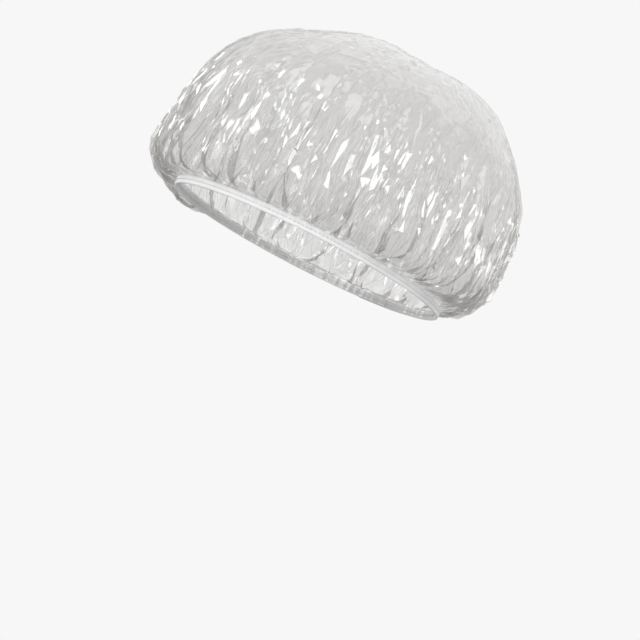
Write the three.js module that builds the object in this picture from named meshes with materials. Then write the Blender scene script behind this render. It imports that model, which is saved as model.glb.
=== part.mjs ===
// Disposable shower cap: a crown of clear film gathered onto a loop of braided elastic and sewn with one lockstitch row.
// Millimetres, +Z up, front towards -Y. The origin is the middle of the rim, in the plane that the band stands on.
import * as THREE from 'three';

// Rim: the upright hem of the film, measured at the middle of the film
const RIM_HALF_WIDTH = 76;
const RIM_HALF_LENGTH = 92;
const RIM_STEPS = 64;

// Crown of film. Its thickness stands for several gathered layers of a film that is far thinner.
const FILM_THICKNESS = 0.8;
const BULGE_HALF_WIDTH = 103;
const BULGE_HALF_LENGTH = 110.5;
const BULGE_HEIGHT = 31;
const CROWN_HEIGHT = 128.4;
const CROWN_SETBACK = 14;
const CROWN_FULLNESS = 2.33; // power of the curve above the bulge: 2 is an ellipse, more is squarer
const BAG_FULLNESS = 3; // power of the curve from the hem out to the bulge
const PLEATS = 28;
const PLEAT_DEPTH = 4.4;
const PLEAT_TOP = 108; // height where the pleats have died out
const PLEAT_LEAST = 0.5; // share of the full depth that the shallowest pleats have
const PLEAT_UNEVEN_WAVES = 6; // times that the depth swells and shrinks round the crown
const PLEAT_SWAY = 0.07; // how far a pleat leaves its even place round the crown, in radians
const PLEAT_SWAY_WAVES = 5;
const RELIEF_RISE = 0.25; // share of the height from hem to bulge over which pleats and slack set in

// Buckles along the pleats: waves round the crown, each turned by one radian over a climb
const BUCKLE_DEPTH = 1.2;
const BUCKLES = [{ waves: 11, climb: 9 }, { waves: 17, climb: -13 }];

// Slack in the film: where it swells out or falls in, by plan angle in degrees and by crown row
const SLACK_SPOTS = [
  { angle: 313, row: 0.86, reach: 24, swell: -3 },
  { angle: 2, row: 0.68, reach: 22, swell: 1.2 },
  { angle: 21, row: 0.47, reach: 26, swell: -1.8 },
  { angle: 213, row: 0.1, reach: 26, swell: -5 },
  { angle: 31, row: -0.5, reach: 24, swell: -5.4 },
  { angle: 178, row: -0.75, reach: 24, swell: 7 },
];

// Elastic: rubber strands in the channels of a flat braid
const STRAND_COUNT = 4;
const STRAND_DIAMETER = 0.4;
const STRAND_SIDES = 5;
const BRAID_RIB = 0.2; // braid between two channels, and above and below them
const BRAID_FACE = 0.35; // braid over a channel on the outer and the inner face
const LAP_LENGTH = 18;
const LAP_RAMP = 24; // length over which the upper end of the lap steps outwards

// Stitching
const THREAD_DIAMETER = 0.4;
const THREAD_SIDES = 4;
const STITCH_LENGTH = 2.4;
const STITCH_RISE = 0.25; // how far a stitch stands above its needle holes
const TACK_LENGTH = 5;
const TACK_HEIGHT = 3;
const TACK_ZIGZAGS = 5;

// Room that touching pieces keep
const CLEARANCE = 0.3;

// Sizes that follow from the ones above
const CHANNEL = STRAND_DIAMETER + 2 * CLEARANCE;
const BAND_WIDTH = STRAND_COUNT * CHANNEL + (STRAND_COUNT + 1) * BRAID_RIB;
const BAND_THICKNESS = CHANNEL + 2 * BRAID_FACE;
const BAND_OFFSET = FILM_THICKNESS / 2 + CLEARANCE + BAND_THICKNESS / 2;
const LAP_LIFT = BAND_THICKNESS + CLEARANCE;
const THREAD_STANDOFF = CLEARANCE + THREAD_DIAMETER / 2;
const NEEDLE_OFFSET = BAND_OFFSET + BAND_THICKNESS / 2 + THREAD_STANDOFF;
const BOBBIN_OFFSET = -FILM_THICKNESS / 2 - THREAD_STANDOFF;
const STITCH_HEIGHT = BAND_WIDTH / 2;
const HEM_BOTTOM = CLEARANCE;
const HEM_TOP = BAND_WIDTH + CLEARANCE + FILM_THICKNESS / 2;
const CROWN_TOP = CROWN_HEIGHT - FILM_THICKNESS / 2;

// Crown rows: -1 is the top of the hem, 0 the widest ring, 1 the middle of the crown
const CROWN_ROWS = [-0.75, -0.4, 0, 0.11, 0.24, 0.42, 0.6, 0.76, 0.89];

const smooth = (value) => THREE.MathUtils.smoothstep(value, 0, 1);

// The rim as a plan curve that starts and ends at the nape
const rim = new THREE.EllipseCurve(0, 0, RIM_HALF_WIDTH, RIM_HALF_LENGTH, Math.PI / 2, Math.PI * 5 / 2);
rim.arcLengthDivisions = 2000;
const rimLength = rim.getLength();

/** Point at a distance along the rim from the nape, moved outwards by offset, at the given height. */
function rimPoint(distance, offset, height) {
  const share = THREE.MathUtils.euclideanModulo(distance, rimLength) / rimLength;
  const point = rim.getPointAt(share);
  const along = rim.getTangentAt(share);
  return new THREE.Vector3(point.x + along.y * offset, point.y - along.x * offset, height);
}

/** A line along the rim, evenly divided by distance from the nape. */
class RimLine extends THREE.Curve {
  constructor(start, end, offsetAt, heightAt) {
    super();
    Object.assign(this, { start, end, offsetAt, heightAt });
  }

  getPoint(share) {
    const distance = THREE.MathUtils.lerp(this.start, this.end, share);
    return rimPoint(distance, this.offsetAt(distance, share), this.heightAt(share));
  }

  getUtoTmapping(share) {
    return share;
  }
}

/** Corners of a round strand, thread or channel, as a polygon of few sides about a place across the band. */
function roundCorners(diameter, sides, middle = 0) {
  return Array.from({ length: sides }, (_, side) => {
    const turn = (side + 0.5) / sides * Math.PI * 2;
    return new THREE.Vector2(middle + Math.cos(turn) * diameter / 2, Math.sin(turn) * diameter / 2);
  });
}

/** Section of the braid without its channels: its width runs first, then its thickness. */
function bandSection() {
  const [w, t] = [BAND_WIDTH / 2, BAND_THICKNESS / 2];
  return new THREE.Shape([[-w, -t], [w, -t], [w, t], [-w, t]].map(([x, y]) => new THREE.Vector2(x, y)));
}

/** Place of a strand's channel across the band, from its middle. */
function channelMiddle(index) {
  return (index - (STRAND_COUNT - 1) / 2) * (CHANNEL + BRAID_RIB);
}

/** How far the upper end of the lap stands out at a distance along the strip. */
function lapLift(distance) {
  return LAP_LIFT * smooth((distance - rimLength + LAP_LENGTH / 2 + LAP_RAMP) / LAP_RAMP);
}

/** Path of the elastic strip, or of a strand at its own height in it. */
function elasticPath(height) {
  const offsetAt = (distance) => BAND_OFFSET + lapLift(distance);
  return new RimLine(-LAP_LENGTH / 2, rimLength + LAP_LENGTH / 2, offsetAt, () => height);
}

/** Braided cover of the elastic: a flat strip with one channel for each rubber strand. */
function elasticBand() {
  const section = bandSection();
  for (let index = 0; index < STRAND_COUNT; index += 1) {
    section.holes.push(new THREE.Path(roundCorners(CHANNEL, STRAND_SIDES, channelMiddle(index))));
  }
  return new THREE.ExtrudeGeometry(section, { steps: RIM_STEPS, extrudePath: elasticPath(BAND_WIDTH / 2) });
}

/** One rubber strand, cut flush with the ends of the braid. */
function rubberStrand(index) {
  const path = elasticPath(BAND_WIDTH / 2 + channelMiddle(index));
  const section = new THREE.Shape(roundCorners(STRAND_DIAMETER, STRAND_SIDES));
  return new THREE.ExtrudeGeometry(section, { steps: RIM_STEPS, extrudePath: path });
}

/** Sewing thread along a path. */
function threadAlong(path, steps) {
  const section = new THREE.Shape(roundCorners(THREAD_DIAMETER, THREAD_SIDES));
  return new THREE.ExtrudeGeometry(section, { steps, extrudePath: path });
}

/** A row of stitches: a thread that rises off the work between its needle holes. */
function stitchRow(start, end, offsetAt, outwards) {
  const stitches = Math.round((end - start) / STITCH_LENGTH);
  const riseAt = (share) => STITCH_RISE * (0.5 - 0.5 * Math.cos(share * stitches * Math.PI * 2));
  const path = new RimLine(
    start, end, (distance, share) => offsetAt(distance) + outwards * riseAt(share), () => STITCH_HEIGHT);
  return threadAlong(path, 2 * stitches);
}

/** Outer stitch row: it climbs over the lap, and its ends stop beside the tack. */
function needleThread() {
  const end = TACK_LENGTH / 2 + THREAD_DIAMETER + CLEARANCE;
  const lapEnd = LAP_LENGTH / 2 + THREAD_DIAMETER + CLEARANCE;
  const stepDown = (distance) => LAP_LIFT * (1 - smooth((distance - lapEnd) / LAP_RAMP));
  const liftAt = (distance) => (distance < rimLength / 2 ? stepDown(distance) : lapLift(distance));
  return stitchRow(end, rimLength - end, (distance) => NEEDLE_OFFSET + liftAt(distance), 1);
}

/** Inner stitch row, on the inside of the hem. */
function bobbinThread() {
  const end = THREAD_DIAMETER / 2 + CLEARANCE;
  return stitchRow(end, rimLength - end, () => BOBBIN_OFFSET, -1);
}

/** Zigzag tack across the middle of the lap. */
function lapTack() {
  const heightAt = (share) => STITCH_HEIGHT + TACK_HEIGHT / 2 * Math.cos(share * TACK_ZIGZAGS * Math.PI * 2);
  const path = new RimLine(-TACK_LENGTH / 2, TACK_LENGTH / 2, () => NEEDLE_OFFSET + LAP_LIFT, heightAt);
  return threadAlong(path, 4 * TACK_ZIGZAGS);
}

/** Reach of an ellipse from its middle at a plan angle. */
function ellipseReach(halfWidth, halfLength, angle) {
  return 1 / Math.hypot(Math.cos(angle) / halfWidth, Math.sin(angle) / halfLength);
}

/** Middle of the film on the smooth crown, at a plan angle and a row value from -1 to 1. */
function crownPoint(angle, row) {
  const bulge = ellipseReach(BULGE_HALF_WIDTH, BULGE_HALF_LENGTH, angle);
  const hem = ellipseReach(RIM_HALF_WIDTH, RIM_HALF_LENGTH, angle);
  const turn = Math.abs(row) * Math.PI / 2;
  const power = 2 / (row < 0 ? BAG_FULLNESS : CROWN_FULLNESS);
  const [across, up] = [Math.cos(turn) ** power, Math.sin(turn) ** power];
  if (row < 0) {
    const reach = hem + (bulge - hem) * across;
    const height = BULGE_HEIGHT + (HEM_TOP - BULGE_HEIGHT) * up;
    return new THREE.Vector3(reach * Math.cos(angle), reach * Math.sin(angle), height);
  }
  const setback = CROWN_SETBACK * Math.sin(turn) ** 2;
  const height = BULGE_HEIGHT + (CROWN_TOP - BULGE_HEIGHT) * up;
  return new THREE.Vector3(bulge * across * Math.cos(angle), bulge * across * Math.sin(angle) + setback, height);
}

/** Outward normal of the smooth crown. */
function crownNormal(angle, row) {
  const step = 1e-3;
  const around = crownPoint(angle + step, row).sub(crownPoint(angle - step, row));
  const upward = crownPoint(angle, row + step).sub(crownPoint(angle, row - step));
  return around.cross(upward).normalize();
}

/** Share of the film's full relief at a height: none at the hem, full a little above it. */
function reliefRise(height) {
  return smooth((height - HEM_TOP) / (BULGE_HEIGHT - HEM_TOP) / RELIEF_RISE);
}

/** Share of the full pleat depth at a height: none at the hem, full at the bulge, none at the pleats' top. */
function pleatShare(height) {
  return reliefRise(height) * (1 - smooth((height - BULGE_HEIGHT) / (PLEAT_TOP - BULGE_HEIGHT)));
}

/** How far a pleat's crest, with side 1, or its valley, with side -1, stands out of the smooth crown. */
function pleatHeight(angle, height, side) {
  const swell = 0.5 + 0.5 * Math.cos(PLEAT_UNEVEN_WAVES * (angle - Math.PI / 2));
  const depth = PLEAT_DEPTH * THREE.MathUtils.lerp(PLEAT_LEAST, 1, swell);
  const buckles = BUCKLES.map(({ waves, climb }) => Math.sin(waves * angle + height / climb));
  const buckle = BUCKLE_DEPTH * buckles.reduce((sum, wave) => sum + wave) / BUCKLES.length;
  return pleatShare(height) * (side * depth / 2 + buckle);
}

/** How far the slack film swells out at a point of the smooth crown. */
function slackHeight(point) {
  const heights = SLACK_SPOTS.map(({ angle, row, reach, swell }) => {
    const middle = crownPoint(THREE.MathUtils.degToRad(angle), row);
    return swell * Math.exp(-(point.distanceTo(middle) ** 2) / reach ** 2);
  });
  return reliefRise(point.z) * heights.reduce((sum, height) => sum + height);
}

/** Rings of film from the bottom of the hem upwards, each a list of a middle point and half a thickness vector. */
function filmRings() {
  const columns = 2 * PLEATS;
  const angles = Array.from({ length: columns }, (_, column) => {
    const turn = column / columns * Math.PI * 2;
    return Math.PI / 2 + turn + PLEAT_SWAY * Math.sin(PLEAT_SWAY_WAVES * turn);
  });
  const half = FILM_THICKNESS / 2;
  const hemRing = (height, tilt) => angles.map((angle) => {
    const middle = crownPoint(angle, -1).setZ(height);
    const slope = new THREE.Vector2(middle.x / RIM_HALF_WIDTH ** 2, middle.y / RIM_HALF_LENGTH ** 2).normalize();
    return { middle, side: new THREE.Vector3(slope.x * half, slope.y * half, -tilt * half) };
  });
  const crownRing = (row) => angles.map((angle, column) => {
    const normal = crownNormal(angle, row);
    const middle = crownPoint(angle, row);
    const relief = pleatHeight(angle, middle.z, column % 2 === 0 ? 1 : -1) + slackHeight(middle);
    return { middle: middle.addScaledVector(normal, relief), side: normal.multiplyScalar(half) };
  });
  return [hemRing(HEM_BOTTOM, 0), hemRing(HEM_TOP, 1), ...CROWN_ROWS.map(crownRing)];
}

/** Crown of film: a closed shell with an outer skin, an inner skin and the cut edge of the hem. */
function crownFilm() {
  const rings = filmRings();
  const columns = rings[0].length;
  const skinSize = rings.length * columns + 1;
  const points = [];
  for (const side of [1, -1]) {
    rings.flat().forEach((spot) => points.push(spot.middle.clone().addScaledVector(spot.side, side)));
    points.push(new THREE.Vector3(0, CROWN_SETBACK, CROWN_TOP + side * FILM_THICKNESS / 2));
  }
  const faces = [];
  const quad = (a, b, c, d) => faces.push(a, b, c, a, c, d);
  const outer = (ring, column) => ring * columns + column % columns;
  const inner = (ring, column) => skinSize + outer(ring, column);
  for (let column = 0; column < columns; column += 1) {
    for (let ring = 0; ring + 1 < rings.length; ring += 1) {
      quad(outer(ring, column), outer(ring, column + 1), outer(ring + 1, column + 1), outer(ring + 1, column));
      quad(inner(ring, column + 1), inner(ring, column), inner(ring + 1, column), inner(ring + 1, column + 1));
    }
    const last = rings.length - 1;
    faces.push(outer(last, column), outer(last, column + 1), skinSize - 1);
    faces.push(inner(last, column + 1), inner(last, column), 2 * skinSize - 1);
    quad(inner(0, column), inner(0, column + 1), outer(0, column + 1), outer(0, column));
  }
  const geometry = new THREE.BufferGeometry().setFromPoints(points);
  geometry.setIndex(faces);
  return geometry;
}

const film = new THREE.MeshStandardMaterial({
  color: 0xe9eaea, roughness: 0.12, metalness: 0, transparent: true, opacity: 0.3 });
const braid = new THREE.MeshStandardMaterial({ color: 0xf4f4f2, roughness: 0.85, metalness: 0 });
const rubber = new THREE.MeshStandardMaterial({ color: 0xe0d8c4, roughness: 0.7, metalness: 0 });
const thread = new THREE.MeshStandardMaterial({ color: 0xd9dde2, roughness: 0.8, metalness: 0 });

const cap = new THREE.Group();

/** Adds one named piece to the cap. */
function addPiece(name, geometry, material) {
  const piece = new THREE.Mesh(geometry, material);
  piece.name = name;
  cap.add(piece);
}

addPiece('crown_film', crownFilm(), film);
addPiece('elastic_band', elasticBand(), braid);
for (let index = 0; index < STRAND_COUNT; index += 1) {
  addPiece(`rubber_strand_${index + 1}`, rubberStrand(index), rubber);
}
addPiece('needle_thread', needleThread(), thread);
addPiece('bobbin_thread', bobbinThread(), thread);
addPiece('lap_tack', lapTack(), thread);

export default cap;
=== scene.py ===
"""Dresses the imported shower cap: crinkled clear film gathered onto a stitched band of braided elastic."""
import logging
import math
from dataclasses import dataclass
from enum import Enum
from functools import cached_property
from typing import Any, Callable, ClassVar

import bpy
import numpy as np
from mathutils import Matrix, Vector
from mathutils.bvhtree import BVHTree
from mathutils.geometry import delaunay_2d_cdt


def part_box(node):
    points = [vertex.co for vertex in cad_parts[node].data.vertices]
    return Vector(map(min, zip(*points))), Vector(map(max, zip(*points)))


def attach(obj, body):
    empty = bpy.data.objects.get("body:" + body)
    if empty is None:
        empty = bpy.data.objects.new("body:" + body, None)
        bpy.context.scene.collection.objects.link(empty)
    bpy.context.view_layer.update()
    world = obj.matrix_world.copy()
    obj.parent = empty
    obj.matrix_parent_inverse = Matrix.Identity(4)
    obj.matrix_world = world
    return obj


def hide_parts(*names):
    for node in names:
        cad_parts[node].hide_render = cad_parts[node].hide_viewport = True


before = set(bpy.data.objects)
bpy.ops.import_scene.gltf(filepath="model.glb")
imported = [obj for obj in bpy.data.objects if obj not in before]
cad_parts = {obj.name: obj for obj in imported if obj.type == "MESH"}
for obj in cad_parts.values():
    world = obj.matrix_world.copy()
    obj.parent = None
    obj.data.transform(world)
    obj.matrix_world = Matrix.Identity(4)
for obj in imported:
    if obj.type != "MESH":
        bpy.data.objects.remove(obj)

Array = np.ndarray
Rng = np.random.Generator
Piece = bpy.types.Object
Material = bpy.types.Material
Socket = bpy.types.NodeSocket
Span = tuple[float, float]
Colour = tuple[float, float, float]

LOG = logging.getLogger("shower_cap")
MM = 0.001
TINY = 1e-6
TURN = 2 * math.pi
BODY = "root"
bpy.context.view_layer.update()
CLEAR_LAYERS = 32


def ease(value: Array, start: float, end: float) -> Array:
    """Smooth step from 0 at start to 1 at end."""
    share = np.clip((value - start) / (end - start), 0.0, 1.0)
    return share * share * (3.0 - 2.0 * share)


def between(value: Array, rise: Span, fall: Span) -> Array:
    """Share that eases in over one span and out again over another."""
    return ease(value, *rise) * (1 - ease(value, *fall))


def unit(vectors: Array) -> Array:
    """Vectors along the last axis, brought to length 1."""
    return vectors / np.maximum(np.linalg.norm(vectors, axis=-1, keepdims=True), 1e-12)


def turns(count: int) -> Array:
    """Angles that share a full turn evenly."""
    return np.linspace(0, TURN, count, endpoint=False)


def compass(angle: Any) -> Array:
    """Directions in plan at the given angles, along a new last axis."""
    return np.stack([np.cos(angle), np.sin(angle)], -1)


def running(steps: Array) -> Array:
    """Sums of the steps so far, from 0."""
    return np.concatenate([[0.0], np.cumsum(steps)])


def distances(path: Array) -> Array:
    """Distance of each point of a path from its start, along the path."""
    return running(np.linalg.norm(np.diff(path, axis=0), axis=1))


def joined(flat: Array) -> tuple[list, list[int]]:
    """Triangles between points of a plane, and the numbers of the points that they use, in their order."""
    _, _, faces, origin, _, _ = delaunay_2d_cdt([Vector(spot) for spot in flat.tolist()], [], [], 0, TINY)
    return faces, [group[0] for group in origin]


def linked(name: str, data: bpy.types.ID) -> Piece:
    """Makes an object from its data and links it to the scene."""
    made = bpy.data.objects.new(name, data)
    bpy.context.scene.collection.objects.link(made)
    return made


def new_piece(name: str, points: Array, faces: list, values: dict[str, Array]) -> Piece:
    """Makes a smooth-shaded mesh object from points in millimetres.

    Args:
        name: Name of the piece.
        points: Vertex places, one row each.
        faces: Vertex numbers of each face.
        values: Named vertex values that the materials read, as numbers or as vectors.

    Returns:
        The new object, linked to the scene.
    """
    mesh = bpy.data.meshes.new(name)
    mesh.from_pydata((points * MM).tolist(), [], faces)
    mesh.polygons.foreach_set("use_smooth", np.ones(len(mesh.polygons), bool))
    for key, value in values.items():
        kind, slot = ("FLOAT", "value") if value.ndim == 1 else ("FLOAT_VECTOR", "vector")
        mesh.attributes.new(key, kind, "POINT").data.foreach_set(slot, value.astype(np.float32).ravel())
    mesh.update()
    return linked(name, mesh)


def swept(path: Array, outward: Array, section: Array) -> tuple[Array, list]:
    """Skins a section along a path and closes both ends.

    Args:
        path: Points of the path.
        outward: Direction of the section's first axis at each point.
        section: Corners of the section, one set for all points or one for each.

    Returns:
        Points and faces.
    """
    ahead = unit(np.gradient(path, axis=0))
    side = unit(outward - (outward * ahead).sum(1, keepdims=True) * ahead)
    up = np.cross(side, ahead)
    rings = path[:, None] + side[:, None] * section[..., 0:1] + up[:, None] * section[..., 1:2]
    steps, sides = rings.shape[:2]
    number = np.arange(steps * sides).reshape(steps, sides)
    beside = np.roll(number, -1, 1)
    quads = np.stack([number[:-1], number[1:], beside[1:], beside[:-1]], -1).reshape(-1, 4)
    return rings.reshape(-1, 3), quads.tolist() + [number[0].tolist(), number[-1, ::-1].tolist()]


def strand_values(along: Array, turn: Array) -> dict[str, Array]:
    """Distance along and share around, for the points of a swept strand."""
    return {"along": np.repeat(along, len(turn)), "around": np.tile(turn / TURN, len(along))}


@dataclass(frozen=True)
class CapSizes:
    """Sizes of the cap in millimetres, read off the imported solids."""

    rim_half_width: float
    rim_half_length: float
    band_width: float
    bulge_half_width: float
    bulge_half_length: float
    crown_height: float

    BAND_FACE: ClassVar[float] = 2.4
    SIDE_PLEAT: ClassVar[float] = 3.1
    END_PLEAT: ClassVar[float] = 2.6

    @classmethod
    def from_frame(cls) -> "CapSizes":
        """Reads the boxes of the band and the film, less what stands out of the rim and the bulge.

        Returns:
            The sizes.
        """
        band_low, band_high = (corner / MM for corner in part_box("elastic_band"))
        film_low, film_high = (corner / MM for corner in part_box("crown_film"))
        return cls(
            rim_half_width=(band_high.x - band_low.x) / 2 - cls.BAND_FACE,
            rim_half_length=-band_low.y - cls.BAND_FACE,
            band_width=band_high.z - band_low.z,
            bulge_half_width=(film_high.x - film_low.x) / 2 - cls.SIDE_PLEAT,
            bulge_half_length=(film_high.y - film_low.y) / 2 - cls.END_PLEAT,
            crown_height=film_high.z,
        )


class RimLine:
    """The rim as a plan ellipse, measured by distance from the nape, anticlockwise from above."""

    SAMPLES = 7200

    def __init__(self, sizes: CapSizes) -> None:
        """Tabulates the ellipse.

        Args:
            sizes: Sizes of the cap.
        """
        turn = math.pi / 2 + np.linspace(0, TURN, self.SAMPLES + 1)
        half = np.array([sizes.rim_half_width, sizes.rim_half_length])
        self.spot = half * compass(turn)
        self.normal = unit(self.spot / half**2)
        self.along = distances(self.spot)
        self.length = float(self.along[-1])

    def looked_up(self, table: Array, distance: Array) -> Array:
        """Rows of one of the rim's tables at distances from the nape."""
        where = np.mod(distance, self.length)
        return np.stack([np.interp(where, self.along, column) for column in table.T], -1)

    def outward(self, distance: Array) -> Array:
        """Outward directions at distances from the nape."""
        return np.pad(self.looked_up(self.normal, distance), ((0, 0), (0, 1)))

    def place(self, distance: Array, offset: Any, height: Any) -> Array:
        """Points beside the rim.

        Args:
            distance: Distances along the rim from the nape.
            offset: How far the points lie outside the rim, one number or one for each.
            height: Heights above the lower edge of the band, one number or one for each.

        Returns:
            One point a row.
        """
        raised = np.broadcast_to(height, distance.shape)[:, None]
        spots = np.concatenate([self.looked_up(self.spot, distance), raised], 1)
        return spots + self.outward(distance) * np.broadcast_to(offset, distance.shape)[:, None]


class FacetPlan(Enum):
    """How a layer of facets is laid out on the film."""

    RINGS = "rings"
    DISC = "disc"


@dataclass(frozen=True)
class FacetLayer:
    """One layer of flat facets crushed into the film. Lengths are in millimetres."""

    plan: FacetPlan
    across: float
    along: float
    depth: float
    rise: Span
    fall: Span

    GIRTH: ClassVar[float] = 640.0
    MARGIN: ClassVar[int] = 4
    JITTER: ClassVar[float] = 0.48
    UNEVEN: ClassVar[Span] = (0.3, 1.5)
    FAINT: ClassVar[float] = 0.01
    ABOVE: ClassVar[float] = 20.0

    @property
    def columns(self) -> int:
        """Number of facets round a ring."""
        return round(self.GIRTH / self.across)

    def corners(self, reach: float, rng: Rng) -> Array:
        """Corner places of the facets, in facet sizes, with their heights.

        Args:
            reach: Length of the film from the hem to the top.
            rng: Source of the draws.

        Returns:
            One corner a row.
        """
        if self.plan is FacetPlan.RINGS:
            rows = math.ceil(reach / self.along) + self.MARGIN
            x, y = np.meshgrid(np.arange(self.columns, dtype=float), np.arange(rows) - self.MARGIN / 2)
            x = x + 0.5 * (np.arange(rows) % 2)[:, None]
        else:
            half = math.ceil(reach / self.across) + self.MARGIN
            side = np.arange(-half, half, dtype=float)
            x, y = np.meshgrid(side, side)
        x, y = (grid + rng.uniform(-self.JITTER, self.JITTER, grid.shape) for grid in (x, y))
        height = rng.normal(0, 1, x.shape) * rng.uniform(*self.UNEVEN, x.shape)
        spots = np.stack([x, y, height], -1).reshape(-1, 3)
        if self.plan is FacetPlan.RINGS:
            lap = np.array([self.columns, 0, 0])
            before = spots[spots[:, 0] > self.columns - self.MARGIN] - lap
            after = spots[spots[:, 0] < self.MARGIN] + lap
            spots = np.concatenate([spots, before, after])
        return spots

    def heights(self, away: Array, angle: Array, reach: float, rng: Rng) -> Array:
        """Heights of the facets over the film.

        Args:
            away: Distance of each point from the hem.
            angle: Plan angle of each point.
            reach: Length of the film from the hem to the top.
            rng: Source of the draws.

        Returns:
            One height for each point.
        """
        spots = self.corners(reach, rng)
        facets, order = joined(spots[:, :2])
        tree = BVHTree.FromPolygons(spots[order].tolist(), facets)
        if self.plan is FacetPlan.RINGS:
            x, y = angle / TURN * self.columns, away / self.along
        else:
            x, y = (reach - away) * compass(angle).T / self.across
        share = between(away, self.rise, self.fall)
        result = np.zeros(len(away))
        down = Vector((0, 0, -1))
        for index in np.flatnonzero(share > self.FAINT):
            hit = tree.ray_cast(Vector((x[index], y[index], self.ABOVE)), down)[0]
            result[index] = hit.z if hit else 0.0
        return self.depth * share * result


@dataclass(frozen=True)
class FacetZone:
    """How closely the corners of the facets lie in one zone of the film. Lengths are in millimetres."""

    start: float
    end: float
    around: float
    along: float
    jitter: float
    keep: float = 1.0
    patchy: float = 0.0
    least: float = 1.0
    on_pleats: float = 0.0


@dataclass(frozen=True)
class PulledFolds:
    """Long folds over the crown where the film is drawn tight. Lengths are in millimetres."""

    count: int = 150
    length: Span = (25.0, 110.0)
    width: Span = (1.4, 4.2)
    height: Span = (0.2, 0.8)
    most: float = 0.8
    radius: Span = (25.0, 150.0)
    lean: float = math.radians(38)
    lean_spread: float = math.radians(16)
    bow: float = 0.06
    sharpness: float = 1.4
    sunk: float = -0.7

    def heights(self, flat: Array, rng: Rng) -> Array:
        """Heights of the folds at places on the flat film.

        Args:
            flat: Places on the flat film, one row each.
            rng: Source of the draws.

        Returns:
            One height for each place.
        """
        result = np.zeros(len(flat))
        for _ in range(self.count):
            turn = rng.uniform(0, TURN)
            middle = rng.uniform(*self.radius) * compass(turn)
            ahead = compass(turn + rng.normal(self.lean, self.lean_spread))
            length, width, height = (rng.uniform(*span) for span in (self.length, self.width, self.height))
            gap = flat - middle
            along = (gap @ ahead) / (length / 2)
            bend = rng.normal(0, self.bow) * length * (along**2)
            across = np.abs(gap @ np.array([-ahead[1], ahead[0]]) - bend) / width
            ridge = np.clip(1 - across, 0, 1) ** self.sharpness
            result += height * rng.choice([self.sunk, 1.0]) * ridge * np.clip(1 - along**2, 0, 1)
        return self.most * np.tanh(result / self.most)


@dataclass(frozen=True)
class PackCreases:
    """Straight creases left by folding the flat cap for its packet. Lengths are in millimetres."""

    pitch: float = 57.0
    width: float = 1.6
    height: float = 0.5
    turn: float = math.radians(25)
    offset: Span = (9.0, 21.0)
    count: int = 2

    def heights(self, flat: Array) -> Array:
        """Heights of the creases over the flat film.

        Args:
            flat: Places on the flat film, one row each.

        Returns:
            One height for each place.
        """
        result = np.zeros(len(flat))
        for axis, offset in zip(compass(self.turn + np.array([0, math.pi / 2])), self.offset):
            across = flat @ axis - offset
            near = across - self.pitch * np.clip(np.round(across / self.pitch), -self.count, self.count)
            result = np.maximum(result, np.clip(1 - np.abs(near) / self.width, 0, 1))
        return self.height * result


@dataclass(frozen=True)
class SlackSpot:
    """A place where the slack film swells out or falls in, by plan angle in degrees and by crown row."""

    angle: float
    row: float
    reach: float
    swell: float

    def heights(self, points: Array, middle: Array) -> Array:
        """How far the film swells at points along the last axis, for the middle of the spot."""
        return self.swell * np.exp(-((points - middle) ** 2).sum(-1) / self.reach**2)


@dataclass(frozen=True)
class PlanWave:
    """A wave round the cap, by its size, its number of crests and its lag."""

    size: float
    crests: int
    lag: float = 0.0

    def at(self, angle: Array) -> Array:
        """Values of the wave at plan angles."""
        return self.size * np.sin(self.crests * angle + self.lag)


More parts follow.
